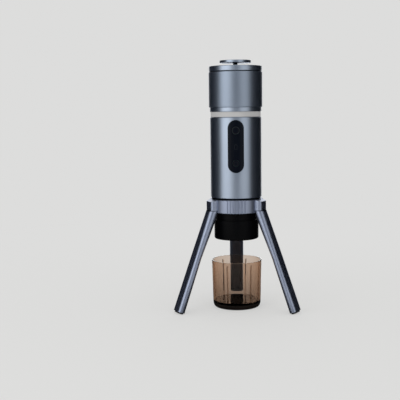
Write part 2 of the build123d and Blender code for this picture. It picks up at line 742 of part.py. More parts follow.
def gear_outline(y, phase):
    """Draw a gear about an axis at a y, with the middle of its first tooth at an azimuth, and add it."""
    pitch = 360 / gear_teeth
    corners = (
        (gear_root_radius, -tooth_root_share / 2), (gear_tip_radius, -tooth_tip_share / 2),
        (gear_tip_radius, tooth_tip_share / 2), (gear_root_radius, tooth_root_share / 2),
    )
    points = []
    for tooth in range(gear_teeth):
        points += [polar(radius, phase + pitch * (tooth + share)) for radius, share in corners]
    with BuildSketch(Plane(origin=(0, y, gear_z))) as outline:
        with BuildLine():
            Polyline(*points, close=True)
        make_face()
    extrude(outline.sketch, amount=gear_width)


with BuildPart() as drive_gear:
    gear_outline(pump_y, 90)
    post(0, pump_y, shaft_radius, gear_z - shaft_stub, motor_z + motor_shaft_depth)
keep(drive_gear, "drive_gear")

with BuildPart() as idler_gear:
    gear_outline(idler_y, 270 + 180 / gear_teeth)
    post(0, idler_y, shaft_radius, gear_z - shaft_stub, gear_top_z + shaft_stub)
keep(idler_gear, "idler_gear")

with BuildPart() as inlet_tube:
    with BuildLine() as route:
        corner = (inlet_x, mesh_y, port_z)
        port = (-pump_half, mesh_y, port_z)
        FilletPolyline((inlet_x, mesh_y, shelf_top_z), corner, port, radius=tube_bend)
    with BuildSketch(Plane(origin=(inlet_x, mesh_y, shelf_top_z), z_dir=(0, 0, -1))):
        Circle(tube_radius)
        Circle(tube_bore, mode=Mode.SUBTRACT)
    sweep(path=route.line)
keep(inlet_tube, "inlet_tube")

delivery_z = collar_top_z - delivery_depth
with BuildPart() as delivery_tube:
    post(delivery_x, mesh_y, tube_radius, delivery_z, base_top_z)
    post(delivery_x, mesh_y, tube_bore, delivery_z - overrun, base_top_z + overrun, Mode.SUBTRACT)
keep(delivery_tube, "delivery_tube")

# Brew head under the base plate, with its screws, gasket and shower plate
flange_z = collar_top_z - brew_flange_height
screw_ring = (spigot_radius + collar_bore) / 2
chamber_top_z = spigot_z + 2 * shower_height
with BuildPart() as brew_head:
    disc(collar_bore - slip, flange_z, collar_top_z)
    disc(spigot_radius, spigot_z, flange_z)
    disc(shower_radius + slip, spigot_z - overrun, spigot_z + shower_height, Mode.SUBTRACT)
    disc(shower_radius - gasket_height, spigot_z, chamber_top_z, Mode.SUBTRACT)
    post(delivery_x, mesh_y, tube_radius + slip, delivery_z, collar_top_z + overrun, Mode.SUBTRACT)
    post(delivery_x, mesh_y, tube_bore, spigot_z, delivery_z + slip, Mode.SUBTRACT)
    for azimuth in screw_azimuths:
        x, y = polar(screw_ring, azimuth)
        post(x, y, screw_radius + slip, flange_z - overrun, collar_top_z + overrun, Mode.SUBTRACT)
keep(brew_head, "brew_head")

with BuildPart() as base_screws:
    for azimuth in screw_azimuths:
        x, y = polar(screw_ring, azimuth)
        post(x, y, screw_radius, flange_z, flange_z + screw_length)
        post(x, y, screw_head_radius, flange_z - screw_head_height, flange_z)
keep(base_screws, "base_screws")

gasket_outer = spigot_radius - (spigot_radius - shower_radius - gasket_width) / 2
with BuildPart() as brew_gasket:
    tube(gasket_outer, gasket_outer - gasket_width, spigot_z - gasket_height, spigot_z)
keep(brew_gasket, "brew_gasket")

with BuildPart() as shower_plate:
    disc(shower_radius, spigot_z, spigot_z + shower_height)
    for count, ring in shower_rings.items():
        with BuildSketch(Plane.XY.offset(spigot_z - overrun)) as holes:
            with PolarLocations(ring, count):
                Circle(shower_hole_radius)
        extrude(holes.sketch, amount=shower_height + 2 * overrun, mode=Mode.SUBTRACT)
keep(shower_plate, "shower_plate")

# Coffee holder: screws up over the spigot, with the basket inside and the outlet below
neck_z = holder_top_z - holder_neck_height
floor_z = holder_z + holder_floor
rim_top_z = spigot_z - gasket_height - clear
rim_z = rim_top_z - basket_rim
holder_bore = spigot_radius + run_fit
with BuildPart() as holder_body:
    disc(holder_radius, holder_z, neck_z)
    fillet(holder_body.edges().group_by(Axis.Z)[0], holder_edge)
    chamfer(holder_body.edges().group_by(Axis.Z)[-1], collar_edge)
    disc(holder_neck_radius, neck_z, holder_top_z)
    disc(holder_bore, rim_z, holder_top_z + overrun, Mode.SUBTRACT)
    disc(basket_radius + slip, floor_z, rim_z, Mode.SUBTRACT)
    disc(outlet_radius, holder_z - overrun, floor_z, Mode.SUBTRACT)
keep(holder_body, "holder_body")

basket_z = floor_z + basket_stand
with BuildPart() as coffee_basket:
    disc(basket_radius, basket_z, rim_z)
    disc(spigot_radius - slip, rim_z, rim_top_z)
    disc(basket_radius - basket_wall, basket_z + basket_wall, rim_top_z + overrun, Mode.SUBTRACT)
    for count, ring in basket_rings.items():
        with BuildSketch(Plane.XY.offset(basket_z - overrun)) as holes:
            with PolarLocations(ring, count):
                Circle(basket_hole_radius)
        extrude(holes.sketch, amount=basket_wall + 2 * overrun, mode=Mode.SUBTRACT)
keep(coffee_basket, "coffee_basket")

with BuildPart() as outlet_nozzle:
    turn(
        (outlet_bore, holder_z - outlet_drop), (outlet_radius - foot_edge, holder_z - outlet_drop),
        (outlet_radius, holder_z - outlet_drop + foot_edge), (outlet_radius, holder_z),
        (outlet_radius - slip, holder_z), (outlet_radius - slip, floor_z), (outlet_flange, floor_z),
        (outlet_flange, floor_z + outlet_flange_height), (outlet_bore, floor_z + outlet_flange_height),
    )
keep(outlet_nozzle, "outlet_nozzle")

# Cup: a tapered tinted tumbler with inner ribs, on a dark base
cup_floor_z = cup_base_height + cup_floor
rib_top_z = cup_height - cup_rib_drop
cup_slope = (cup_radius - cup_foot_radius) / (cup_height - cup_base_height)


def cup_bore(height):
    """Give the radius of the cup's inner wall at a height."""
    return cup_foot_radius + cup_slope * (height - cup_base_height) - cup_wall


with BuildPart() as cup_body:
    turn(
        (0, cup_base_height), (cup_foot_radius, cup_base_height), (cup_radius, cup_height),
        (cup_bore(cup_height), cup_height), (cup_bore(cup_floor_z), cup_floor_z), (0, cup_floor_z),
    )
    fillet(cup_body.edges().group_by(Axis.Z)[-1], cup_rim_edge)
    for rib in range(cup_rib_count):
        outward = polar(1, cup_rib_phase + rib * 360 / cup_rib_count)
        rib_plane = Plane(origin=(0, 0, 0), x_dir=(*outward, 0), z_dir=(outward[1], -outward[0], 0))
        rib_low_z = cup_floor_z - cup_floor / 2
        low_bore = cup_bore(cup_floor_z)
        top_bore = cup_bore(rib_top_z)
        with BuildSketch(rib_plane) as rib_outline:
            with BuildLine():
                Polyline(
                    (low_bore - cup_rib_height, rib_low_z), (low_bore, rib_low_z),
                    (low_bore + cup_wall / 2, cup_floor_z), (top_bore + cup_wall / 2, rib_top_z),
                    (top_bore, rib_top_z), (top_bore - cup_rib_height, rib_top_z - cup_rib_height),
                    close=True,
                )
            make_face()
        extrude(rib_outline.sketch, amount=cup_rib_width / 2, both=True)
keep(cup_body, "cup_body")

with BuildPart() as cup_base:
    with BuildSketch(Plane.XZ) as base_profile:
        with BuildLine():
            Line((0, cup_base_height), (cup_foot_radius, cup_base_height))
            TangentArc((cup_foot_radius, cup_base_height), (cup_base_radius, 0), tangent=(0, -1))
            Polyline(
                (cup_base_radius, 0), (cup_base_radius - cup_base_wall, 0),
                (cup_base_radius - cup_base_wall, cup_base_height - cup_base_wall),
                (0, cup_base_height - cup_base_wall), (0, cup_base_height),
            )
        make_face()
    revolve(base_profile.sketch, axis=Axis.Z)
keep(cup_base, "cup_base")
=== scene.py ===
"""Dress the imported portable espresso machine: satin metal, gloss panel, frosted ring and a tinted cup."""
import json
import logging
from dataclasses import dataclass, field, replace
from enum import Enum
from math import cos, pi, radians, sin

import bmesh
import bpy
import numpy as np
from mathutils import Euler, Matrix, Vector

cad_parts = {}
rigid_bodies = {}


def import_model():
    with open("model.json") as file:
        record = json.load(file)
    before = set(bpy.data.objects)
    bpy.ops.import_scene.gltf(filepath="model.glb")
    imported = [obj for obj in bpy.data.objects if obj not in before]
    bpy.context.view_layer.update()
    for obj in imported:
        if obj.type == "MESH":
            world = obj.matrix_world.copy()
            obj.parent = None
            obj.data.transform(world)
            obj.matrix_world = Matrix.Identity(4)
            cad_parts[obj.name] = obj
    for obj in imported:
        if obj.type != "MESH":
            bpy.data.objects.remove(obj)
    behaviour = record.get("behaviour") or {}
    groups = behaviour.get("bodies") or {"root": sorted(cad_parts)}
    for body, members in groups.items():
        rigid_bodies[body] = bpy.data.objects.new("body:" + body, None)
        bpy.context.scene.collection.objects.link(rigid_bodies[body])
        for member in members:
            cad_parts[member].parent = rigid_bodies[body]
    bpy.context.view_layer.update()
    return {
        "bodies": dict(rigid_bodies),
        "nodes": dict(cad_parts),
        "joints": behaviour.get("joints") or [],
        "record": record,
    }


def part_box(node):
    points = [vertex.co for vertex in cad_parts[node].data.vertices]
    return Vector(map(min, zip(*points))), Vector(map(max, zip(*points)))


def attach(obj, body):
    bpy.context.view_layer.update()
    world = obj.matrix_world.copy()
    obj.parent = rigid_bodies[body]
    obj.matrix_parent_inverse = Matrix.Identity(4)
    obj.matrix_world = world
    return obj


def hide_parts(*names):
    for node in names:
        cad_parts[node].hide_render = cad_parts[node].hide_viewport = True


LOG = logging.getLogger("espresso")
Array = np.ndarray
Shape = tuple[Array, Array]
Colour = tuple[float, float, float]

MM: float = 0.001
CORNER_STEPS: int = 6  # points on a rounded corner
CORNER_SHARE: float = 0.49  # the most of a side that one corner's rounding takes
RING_SEGMENTS: int = 192  # steps around a turned piece
CREASE: float = 32.0  # degrees above which an edge of a new piece stays sharp
CAD_CREASE: float = 28.0  # the same for a CAD node
CAD_MERGE: float = 1e-6  # distance under which a CAD node's loose points are joined
SAME_POINT: float = 1e-7  # distance under which a new piece's points are joined
NO_LENGTH: float = 1e-8  # length under which an edge is dropped
FLOOR_GAP: float = 0.0006  # height of the stage's cards above the floor


class Body(str, Enum):
    """The moving bodies that pieces ride on."""

    MACHINE = "machine"
    LID = "lid"
    KNOB = "vent_knob"
    POWER = "power_button"
    BREW = "brew_button"
    HOLDER = "coffee_holder"
    CUP = "cup"


class Slot(str, Enum):
    """The record's material slots that new pieces take their finish from."""

    METAL = "slate_aluminium"
    GLOSS = "black_gloss"
    PLASTIC = "black_plastic"
    FROST = "frosted_plastic"
    TINT = "amber_tint"
    DARK = "dark_tint"


# Shape tools


def rounded(corners: list[tuple[float, float, float]], closed: bool = True) -> Array:
    """Round the corners of an outline: each corner becomes an arc tangent to its two sides.

    The arc at a corner P with unit directions a and b to its neighbours starts at P + a t and ends at
    P + b t, where t is the corner's rounding, and runs along the quadratic blend of those points with P.

    Args:
        corners: The corners as (radius, height, rounding), all in metres.
        closed: Whether the last corner joins the first one.

    Returns:
        The outline's points, as an array of (radius, height) rows.
    """
    table = np.array(corners, float)
    points, size = table[:, :2], table[:, 2]
    if not closed:
        size = np.concatenate(([0.0], size[1:-1], [0.0]))
    back = np.roll(points, 1, 0) - points
    ahead = np.roll(points, -1, 0) - points
    back_length = np.linalg.norm(back, axis=1, keepdims=True)
    ahead_length = np.linalg.norm(ahead, axis=1, keepdims=True)
    reach = np.minimum(size[:, None], CORNER_SHARE * np.minimum(back_length, ahead_length))
    start = (points + back / back_length * reach)[:, None]
    end = (points + ahead / ahead_length * reach)[:, None]
    blend = np.linspace(0.0, 1.0, CORNER_STEPS)[None, :, None]
    arcs = (1 - blend) ** 2 * start + 2 * blend * (1 - blend) * points[:, None] + blend**2 * end
    flat = arcs.reshape(-1, 2)
    apart = np.linalg.norm(flat - np.roll(flat, 1, 0), axis=1) > NO_LENGTH
    return flat[apart]


def grid_faces(rows: int, columns: int, wrap_rows: bool, wrap_columns: bool) -> Array:
    """Give the quads of a grid of points, row by row, that may close on itself in either direction.

    Args:
        rows: The number of rows of points.
        columns: The number of points in a row.
        wrap_rows: Whether the last row joins the first one.
        wrap_columns: Whether the last point of a row joins its first one.

    Returns:
        An array of quads, each of four point numbers.
    """
    row = np.arange(rows if wrap_rows else rows - 1)[:, None]
    column = np.arange(columns if wrap_columns else columns - 1)[None, :]
    next_row, next_column = (row + 1) % rows, (column + 1) % columns
    corners = (row * columns + column, row * columns + next_column,
               next_row * columns + next_column, next_row * columns + column)
    return np.stack(np.broadcast_arrays(*corners), -1).reshape(-1, 4)


def turned(outline: Array, segments: int, closed: bool = True) -> Shape:
    """Turn an outline about the upright axis: point (r, z) goes to (r cos a, r sin a, z) for each angle a.

    Args:
        outline: The (radius, height) points.
        segments: The number of steps around.
        closed: Whether the outline is a loop, as in a ring's section, or runs from pole to pole.

    Returns:
        The points and the quads.
    """
    angle = np.linspace(0.0, 2 * pi, segments, endpoint=False)[None, :]
    radius, height = outline[:, 0, None], outline[:, 1, None]
    points = np.stack((radius * np.cos(angle), radius * np.sin(angle), height + 0 * angle), -1)
    return points.reshape(-1, 3), grid_faces(len(outline), segments, closed, True)


def clean_mesh(name: str, shape: Shape) -> bpy.types.Mesh:
    """Make a mesh whose seams and poles are closed and whose faces point outwards.

    Args:
        name: The mesh's name.
        shape: The points and the faces.

    Returns:
        The new mesh.
    """
    points, faces = shape
    mesh = bpy.data.meshes.new(name)
    mesh.from_pydata(points.tolist(), [], faces.tolist())
    work = bmesh.new()
    work.from_mesh(mesh)
    bmesh.ops.remove_doubles(work, verts=work.verts, dist=SAME_POINT)
    bmesh.ops.dissolve_degenerate(work, edges=work.edges, dist=NO_LENGTH)
    bmesh.ops.recalc_face_normals(work, faces=work.faces)
    work.to_mesh(mesh)
    work.free()
    return mesh


def put(name: str, data: bpy.types.ID) -> bpy.types.Object:
    """Set a mesh, a lamp or a camera into the scene as an object.

    Args:
        name: The object's name.
        data: What it shows.

    Returns:
        The new object.
    """
    thing = bpy.data.objects.new(name, data)
    bpy.context.scene.collection.objects.link(thing)
    return thing


def piece(name: str, shape: Shape, body: Body, slot: Slot, material: bpy.types.Material,
          stands_for: tuple[str, ...] = ()) -> None:
    """Make points and faces into a finished piece that rides on a body.

    Args:
        name: The piece's name.
        shape: The points and the faces.
        body: The body that it rides on.
        slot: The record's slot for its finish; not used.
        material: Its material.
        stands_for: The CAD nodes that it hides.
    """
    mesh = clean_mesh(name, shape)
    mesh.shade_smooth()
    mesh.set_sharp_from_angle(angle=radians(CREASE))
    mesh.materials.append(material)
    thing = put(name, mesh)
    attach(thing, body.value)
    if stands_for:
        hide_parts(*stands_for)
    LOG.info("%s: %d faces, rides on %s", name, len(mesh.polygons), body.value)


@dataclass(frozen=True)
class Span:
    """The round outline of a CAD node: its outer radius and its two heights, in metres."""

    radius: float
    low: float
    high: float

    @classmethod
    def of(cls, node: str) -> "Span":
        """Measure a node that is turned about the machine's axis."""
        low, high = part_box(node)
        return cls(max(high.x, -low.x), low.z, high.z)


# Finishes


@dataclass(frozen=True)
class Fade:
    """A change of colour with height: the colour's share below one height and above another, in metres."""

    low: float
    high: float
    below: float
    above: float


class Graph:
    """A material's node graph, with short calls for what every finish needs."""

    noise_range: tuple[float, float] = (0.3, 0.7)

    def __init__(self, name: str) -> None:
        """Start a graph with one principled shader, which reads the piece's own coordinates.

        Args:
            name: The material's name.
        """
        self.material = bpy.data.materials.new(name)
        self.material.use_nodes = True
        self.tree = self.material.node_tree
        self.shader = self.tree.nodes["Principled BSDF"]
        self.place = self.add("ShaderNodeTexCoord").outputs["Object"]

    def add(self, kind: str, **values: object) -> bpy.types.Node:
        """Add a node.

        Args:
            kind: The node's type.
            values: The properties that are set on it.

        Returns:
            The new node.
        """
        node = self.tree.nodes.new(kind)
        for key, value in values.items():
            setattr(node, key, value)
        return node

    def link(self, source: bpy.types.NodeSocket, target: bpy.types.NodeSocket) -> None:
        """Join two sockets."""
        self.tree.links.new(source, target)

    @staticmethod
    def fill(node: bpy.types.Node, values: dict[str, object]) -> None:
        """Set a node's own input sockets by name."""
        for name, value in values.items():
            node.inputs[name].default_value = value

    def noise(self, scale: float, detail: float = 3.0, stretch: Colour = (1, 1, 1)) -> bpy.types.NodeSocket:
        """Add a noise on the piece's own coordinates.

        Args:
            scale: The noise's cells per metre.
            detail: The number of its finer layers.
            stretch: The factors of the coordinates along the three axes.

        Returns:
            The socket with the noise's value.
        """
        mapping = self.add("ShaderNodeMapping")
        self.fill(mapping, {"Scale": stretch})
        self.link(self.place, mapping.inputs["Vector"])
        noise = self.add("ShaderNodeTexNoise")
        self.fill(noise, {"Scale": scale, "Detail": detail})
        self.link(mapping.outputs["Vector"], noise.inputs["Vector"])
        return noise.outputs["Fac"]

    def spread(self, source: bpy.types.NodeSocket, old: tuple[float, float],
               new: tuple[float, float]) -> bpy.types.NodeSocket:
        """Map a value from one range to another, and hold it at the ends.

        Args:
            source: The socket with the value.
            old: The range that it comes from.
            new: The range that it goes to.

        Returns:
            The socket with the mapped value.
        """
        span = self.add("ShaderNodeMapRange")
        self.fill(span, {"From Min": old[0], "From Max": old[1], "To Min": new[0], "To Max": new[1]})
        self.link(source, span.inputs["Value"])
        return span.outputs["Result"]

    def colours(self, source: bpy.types.NodeSocket, first: Colour, second: Colour) -> None:
        """Mix two colours by a value, into the base colour.

        Args:
            source: The socket with the value, from 0 to 1.
            first: The colour at 0.
            second: The colour at 1.
        """
        mix = self.add("ShaderNodeMix", data_type="RGBA")
        sockets = [socket for socket in mix.inputs if socket.name in ("A", "B") and socket.type == "RGBA"]
        sockets[0].default_value, sockets[1].default_value = (*first, 1), (*second, 1)
        self.link(source, mix.inputs["Factor"])
        result = next(socket for socket in mix.outputs if socket.type == "RGBA")
        self.link(result, self.shader.inputs["Base Color"])

    def fade(self, fade: Fade) -> None:
        """Scale the base colour by a share that changes with height.

        Args:
            fade: The two heights and the shares below and above them.
        """
        split, scale = self.add("ShaderNodeSeparateXYZ"), self.add("ShaderNodeVectorMath", operation="SCALE")
        self.link(self.place, split.inputs["Vector"])
        share = self.spread(split.outputs["Z"], (fade.low, fade.high), (fade.below, fade.above))
        self.link(share, scale.inputs["Scale"])
        base = self.shader.inputs["Base Color"]
        self.link(base.links[0].from_socket, scale.inputs["Vector"])
        self.link(scale.outputs["Vector"], base)

    def bump(self, source: bpy.types.NodeSocket, depth: float) -> None:
        """Raise the surface by a value.

        Args:
            source: The socket with the value.
            depth: The height in metres that a value of 1 stands for.
        """
        bump = self.add("ShaderNodeBump")
        self.fill(bump, {"Strength": 1.0, "Distance": depth})
        self.link(source, bump.inputs["Height"])
        self.link(bump.outputs["Normal"], self.shader.inputs["Normal"])


@dataclass(frozen=True)
class Finish:
    """A surface: two close colours that noise mixes, a range of roughness and a fine grain.

    The grain's height and the colour come from noise on the piece's own coordinates, in metres.
    """

    name: str
    first: Colour
    second: Colour
    metallic: float = 0.0
    rough: tuple[float, float] = (0.3, 0.4)
    patch_scale: float = 40.0
    grain_scale: float = 2500.0
    grain_depth: float = 4e-6
    grain_detail: float = 2.0
    grain_stretch: Colour = (1, 1, 1)
    coat: float = 0.0
    coat_rough: float = 0.08
    ior: float = 1.5
    specular: float = 0.5
    fade: Fade | None = None

    def graph(self) -> Graph:
        """Lay out the finish's nodes.

        Returns:
            The node graph, which holds the material.
        """
        graph = Graph(self.name)
        patch = graph.noise(self.patch_scale)
        grain = graph.noise(self.grain_scale, self.grain_detail, self.grain_stretch)
        graph.colours(graph.spread(patch, graph.noise_range, (0.0, 1.0)), self.first, self.second)
        if self.fade:
            graph.fade(self.fade)
        rough = graph.spread(grain, graph.noise_range, self.rough)
        graph.link(rough, graph.shader.inputs["Roughness"])
        graph.bump(grain, self.grain_depth)
        graph.fill(graph.shader, {"Metallic": self.metallic, "IOR": self.ior, "Coat Weight": self.coat,
                                  "Specular IOR Level": self.specular})
        if self.coat:
            graph.fill(graph.shader, {"Coat Roughness": self.coat_rough})
        return graph

    def build(self) -> bpy.types.Material:
        """Make the finish's material."""
        return self.graph().material


@dataclass(frozen=True)
class Metal(Finish):
    """A blasted and coloured aluminium: broad, faint patches under a very fine grain."""

    metallic: float = 1.0
    patch_scale: float = 14.0
    grain_scale: float = 5200.0
    grain_depth: float = 3e-6


@dataclass(frozen=True)
class Tint(Finish):
    """A clear coloured plastic with faint moulding waves: light passes, and loses colour on its way."""

    through: float = 1.0
    kept: Colour = (0.588, 0.33, 0.11)
    density: float = 320.0

    def graph(self) -> Graph:
        """Lay out the finish's nodes, with an inside that soaks up part of the light per metre.

        Returns:
            The node graph, which holds the material.
        """
        graph = super().graph()
        graph.fill(graph.shader, {"Transmission Weight": self.through})
        inside = graph.add("ShaderNodeVolumeAbsorption")
        graph.fill(inside, {"Color": (*self.kept, 1), "Density": self.density})
        graph.link(inside.outputs["Volume"], graph.tree.nodes["Material Output"].inputs["Volume"])
        return graph


TRIPOD_METAL = Metal("satin_tripod_metal", (0.285, 0.32, 0.415), (0.315, 0.355, 0.455), rough=(0.34, 0.41),
                     patch_scale=18.0)
FINISHES: dict[str, Finish] = {
    "slate_aluminium": Metal("satin_slate_metal", (0.325, 0.375, 0.455), (0.355, 0.41, 0.495),
                             rough=(0.32, 0.39)),
    "slate_sleeve": Metal("brushed_slate_metal", (0.265, 0.312, 0.385), (0.295, 0.345, 0.425),
                          rough=(0.37, 0.45)),
    "slate_tripod": TRIPOD_METAL,
    # The leg's upper end is painted dark, a painted shade in the joint under its lug.
    "slate_leg_painted_shade": replace(TRIPOD_METAL, name="satin_leg_metal_painted_shade",
                         fade=Fade(135.45 * MM, 135.65 * MM, below=1.0, above=0.03)),
    "black_gloss": Finish("polished_black", (0.0030, 0.0044, 0.0082), (0.0038, 0.0054, 0.0096),
                          rough=(0.06, 0.1), grain_depth=4e-7, specular=0.05),
    "black_plastic": Finish("satin_black", (0.0011, 0.0012, 0.0017), (0.0017, 0.0018, 0.0024),
                            rough=(0.34, 0.45), grain_scale=3600.0, grain_depth=8e-6, specular=0.05),
    "frosted_plastic": Finish("frosted_white", (0.475, 0.470, 0.472), (0.53, 0.525, 0.527),
                              rough=(0.42, 0.55), grain_depth=6e-6),
    # The cup reflects less than real plastic does, and its colour is painted darker towards its foot, a
    # painted shade.
    "amber_tint": Tint("brown_tint", (0.97, 0.955, 0.94), (0.985, 0.97, 0.955), rough=(0.01, 0.035),
                       patch_scale=22.0, grain_scale=180.0, ior=1.25,
                       fade=Fade(8 * MM, 58 * MM, below=0.7, above=1.0)),
    "dark_tint": Finish("dark_brown_gloss", (0.008, 0.006, 0.005), (0.013, 0.010, 0.008),
                        rough=(0.14, 0.22), grain_depth=2e-6, specular=0.35),
    "black_rubber": Finish("matt_rubber", (0.016, 0.016, 0.017), (0.026, 0.026, 0.027),
                           rough=(0.62, 0.8), grain_scale=4200.0, grain_depth=2e-5),
    "steel": Finish("plain_steel", (0.56, 0.56, 0.57), (0.64, 0.64, 0.65), metallic=1.0,
                    rough=(0.2, 0.34), grain_stretch=(1, 1, 12)),
    "board_green": Finish("solder_mask", (0.016, 0.13, 0.055), (0.024, 0.18, 0.08), rough=(0.3, 0.45),
                          coat=0.4),
    "cell_wrap": Finish("shrink_wrap", (0.05, 0.17, 0.37), (0.07, 0.22, 0.46), rough=(0.26, 0.36)),
    "silicone": Finish("milky_silicone", (0.68, 0.68, 0.65), (0.76, 0.76, 0.73), rough=(0.4, 0.52)),
    "mark": Finish("printed_grey", (0.012, 0.014, 0.018), (0.016, 0.018, 0.023), rough=(0.35, 0.5),
                   specular=0.15),
}
# CAD nodes whose finish isn't the plain one of their slot.
NODE_FINISHES: dict[str, str] = {
    "tripod_collar": "slate_tripod", "hinge_pins": "slate_tripod",
    "leg_left": "slate_leg_painted_shade", "leg_right": "slate_leg_painted_shade", "leg_back": "slate_leg_painted_shade"}


class Workshop:
    """The built materials, and the dressing and smoothing that CAD nodes share."""

    def __init__(self, frame: dict) -> None:
        """Build every finish once, and dress the CAD nodes by their slots in the record.

        Args:
            frame: The loaded frame, with its record and its nodes.
        """
        self.materials = {slot: finish.build() for slot, finish in FINISHES.items()}
        self.smoothing = self.smooth_group()
        for entry in frame["record"]["subparts"]:
            slot = NODE_FINISHES.get(entry["node"], entry["material_slot"])
            self.dress(frame["nodes"][entry["node"]], self.materials[slot])

    @staticmethod
    def smooth_group() -> bpy.types.NodeTree:
        """Make the node group that joins a CAD node's loose triangles and smooths all but its real edges.

        Returns:
            The node group, for a modifier.
        """
        tree = bpy.data.node_groups.new("smooth_real_faces", "GeometryNodeTree")
        tree.interface.new_socket("Geometry", in_out="INPUT", socket_type="NodeSocketGeometry")
        tree.interface.new_socket("Geometry", in_out="OUTPUT", socket_type="NodeSocketGeometry")
        add, join = tree.nodes.new, tree.links.new
        start, end = add("NodeGroupInput"), add("NodeGroupOutput")
        merge = add("GeometryNodeMergeByDistance")
        merge.inputs["Distance"].default_value = CAD_MERGE
        faces, edges = add("GeometryNodeSetShadeSmooth"), add("GeometryNodeSetShadeSmooth")
        faces.domain, edges.domain = "FACE", "EDGE"
        angle, small = add("GeometryNodeInputMeshEdgeAngle"), add("FunctionNodeCompare")
        small.operation = "LESS_THAN"
        small.inputs["B"].default_value = radians(CAD_CREASE)
        join(start.outputs[0], merge.inputs["Geometry"])
        join(merge.outputs["Geometry"], faces.inputs["Geometry"])
        join(faces.outputs["Geometry"], edges.inputs["Geometry"])
        join(angle.outputs["Unsigned Angle"], small.inputs["A"])
        join(small.outputs["Result"], edges.inputs["Shade Smooth"])
        join(edges.outputs["Geometry"], end.inputs[0])
        return tree

    def dress(self, node: bpy.types.Object, material: bpy.types.Material) -> None:
        """Give a CAD node its finish in every material slot, and smooth its round faces.

        Args:
            node: The CAD node's object.
            material: Its finish.
        """
        for place in node.material_slots:
            place.link = "OBJECT"
            place.material = material
        soften = node.modifiers.new("smooth", "NODES")
        soften.node_group = self.smoothing

    def ring(self, name: str, outline: Array, body: Body, slot: Slot, stands_for: tuple[str, ...],
             closed: bool = True, finish: str = "") -> None:
        """Turn an outline into a piece that stands for CAD nodes.

        Args:
            name: The piece's name.
            outline: The (radius, height) points of its section.
            body: The body that it rides on.
            slot: The record's slot that it takes its finish from.
            stands_for: The CAD nodes that it hides.
            closed: Whether the outline is a loop or runs from pole to pole.
            finish: The name of a finish other than the slot's own.
        """
        material = self.materials[finish or slot.value]
        piece(name, turned(outline, RING_SEGMENTS, closed), body, slot, material, stands_for)


# Sub-assemblies


@dataclass
class Lid:
    """The cap with its crowned top and soft edges, and the vent knob's disc."""

    crown: float = 1.2 * MM
    edge: float = 1.0 * MM
    lower_edge: float = 0.7 * MM
    hole: float = 3.06 * MM
    hole_edge: float = 0.1 * MM
    foot_room: float = 5.75 * MM
    roof: float = 2.6 * MM
    knob_edge: float = 0.5 * MM

    def build(self, shop: Workshop) -> None:
        """Turn the cap and the disc.

        Args:
            shop: The workshop with the materials.
        """
        cap = Span.of("lid_cap")
        outline = rounded([
            (self.foot_room, cap.low, 0.0), (cap.radius, cap.low, self.lower_edge),
            (cap.radius, cap.high - self.crown, self.edge), (self.hole, cap.high, self.hole_edge),
            (self.hole, cap.high - self.roof, 0.0), (self.foot_room, cap.high - self.roof, 0.0)])
        shop.ring("lid_cap_shell", outline, Body.LID, Slot.METAL, ("lid_cap",))
        disc = Span.of("knob_disc")
        outline = rounded([
            (0.0, disc.low, 0.0), (disc.radius, disc.low, self.knob_edge),
            (disc.radius, disc.high, self.knob_edge), (0.0, disc.high, 0.0)], closed=False)
        shop.ring("vent_knob_top", outline, Body.KNOB, Slot.METAL, ("knob_disc",), closed=False)


@dataclass
class Tank:
    """The sleeve, the ring under it and the frosted ring, each with soft edges."""

    sleeve_wall: float = 1.8 * MM
    sleeve_edge: float = 0.8 * MM
    sleeve_foot_edge: float = 0.1 * MM
    sleeve_mouth_edge: float = 0.3 * MM
    liner_gap: float = 0.1 * MM
    shelf_width: float = 4.0 * MM
    shelf_height: float = 2.7 * MM
    ring_lower_edge: float = 0.3 * MM
    ring_upper_edge: float = 0.35 * MM
    frost_wall: float = 3.0 * MM
    frost_edge: float = 0.4 * MM

    def build(self, shop: Workshop) -> None:
        """Turn the three rings.

        Args:
            shop: The workshop with the materials.
        """
        sleeve = Span.of("tank_sleeve")
        bore = sleeve.radius - self.sleeve_wall
        outline = rounded([
            (bore, sleeve.low, self.sleeve_foot_edge), (sleeve.radius, sleeve.low, self.sleeve_edge),
            (sleeve.radius, sleeve.high, self.sleeve_edge), (bore, sleeve.high, self.sleeve_mouth_edge)])
        shop.ring("tank_sleeve_shell", outline, Body.MACHINE, Slot.METAL, ("tank_sleeve",),
                  finish="slate_sleeve")
        ring, liner = Span.of("tank_ring"), Span.of("tank_liner")
        seat, mouth = liner.radius + self.liner_gap, liner.radius - self.shelf_width
        shelf = ring.low + self.shelf_height
        outline = rounded([
            (mouth, ring.low, 0.0), (ring.radius, ring.low, self.ring_lower_edge),
            (ring.radius, ring.high, self.ring_upper_edge), (seat, ring.high, 0.0), (seat, shelf, 0.0),
            (mouth, shelf, 0.0)])
        shop.ring("tank_foot_ring", outline, Body.MACHINE, Slot.METAL, ("tank_ring",))
        frost = Span.of("frosted_ring")
        bore = frost.radius - self.frost_wall
        outline = rounded([
            (bore, frost.low, 0.0), (frost.radius, frost.low, self.frost_edge),
            (frost.radius, frost.high, self.frost_edge), (bore, frost.high, 0.0)])
        shop.ring("light_ring", outline, Body.MACHINE, Slot.FROST, ("frosted_ring",))


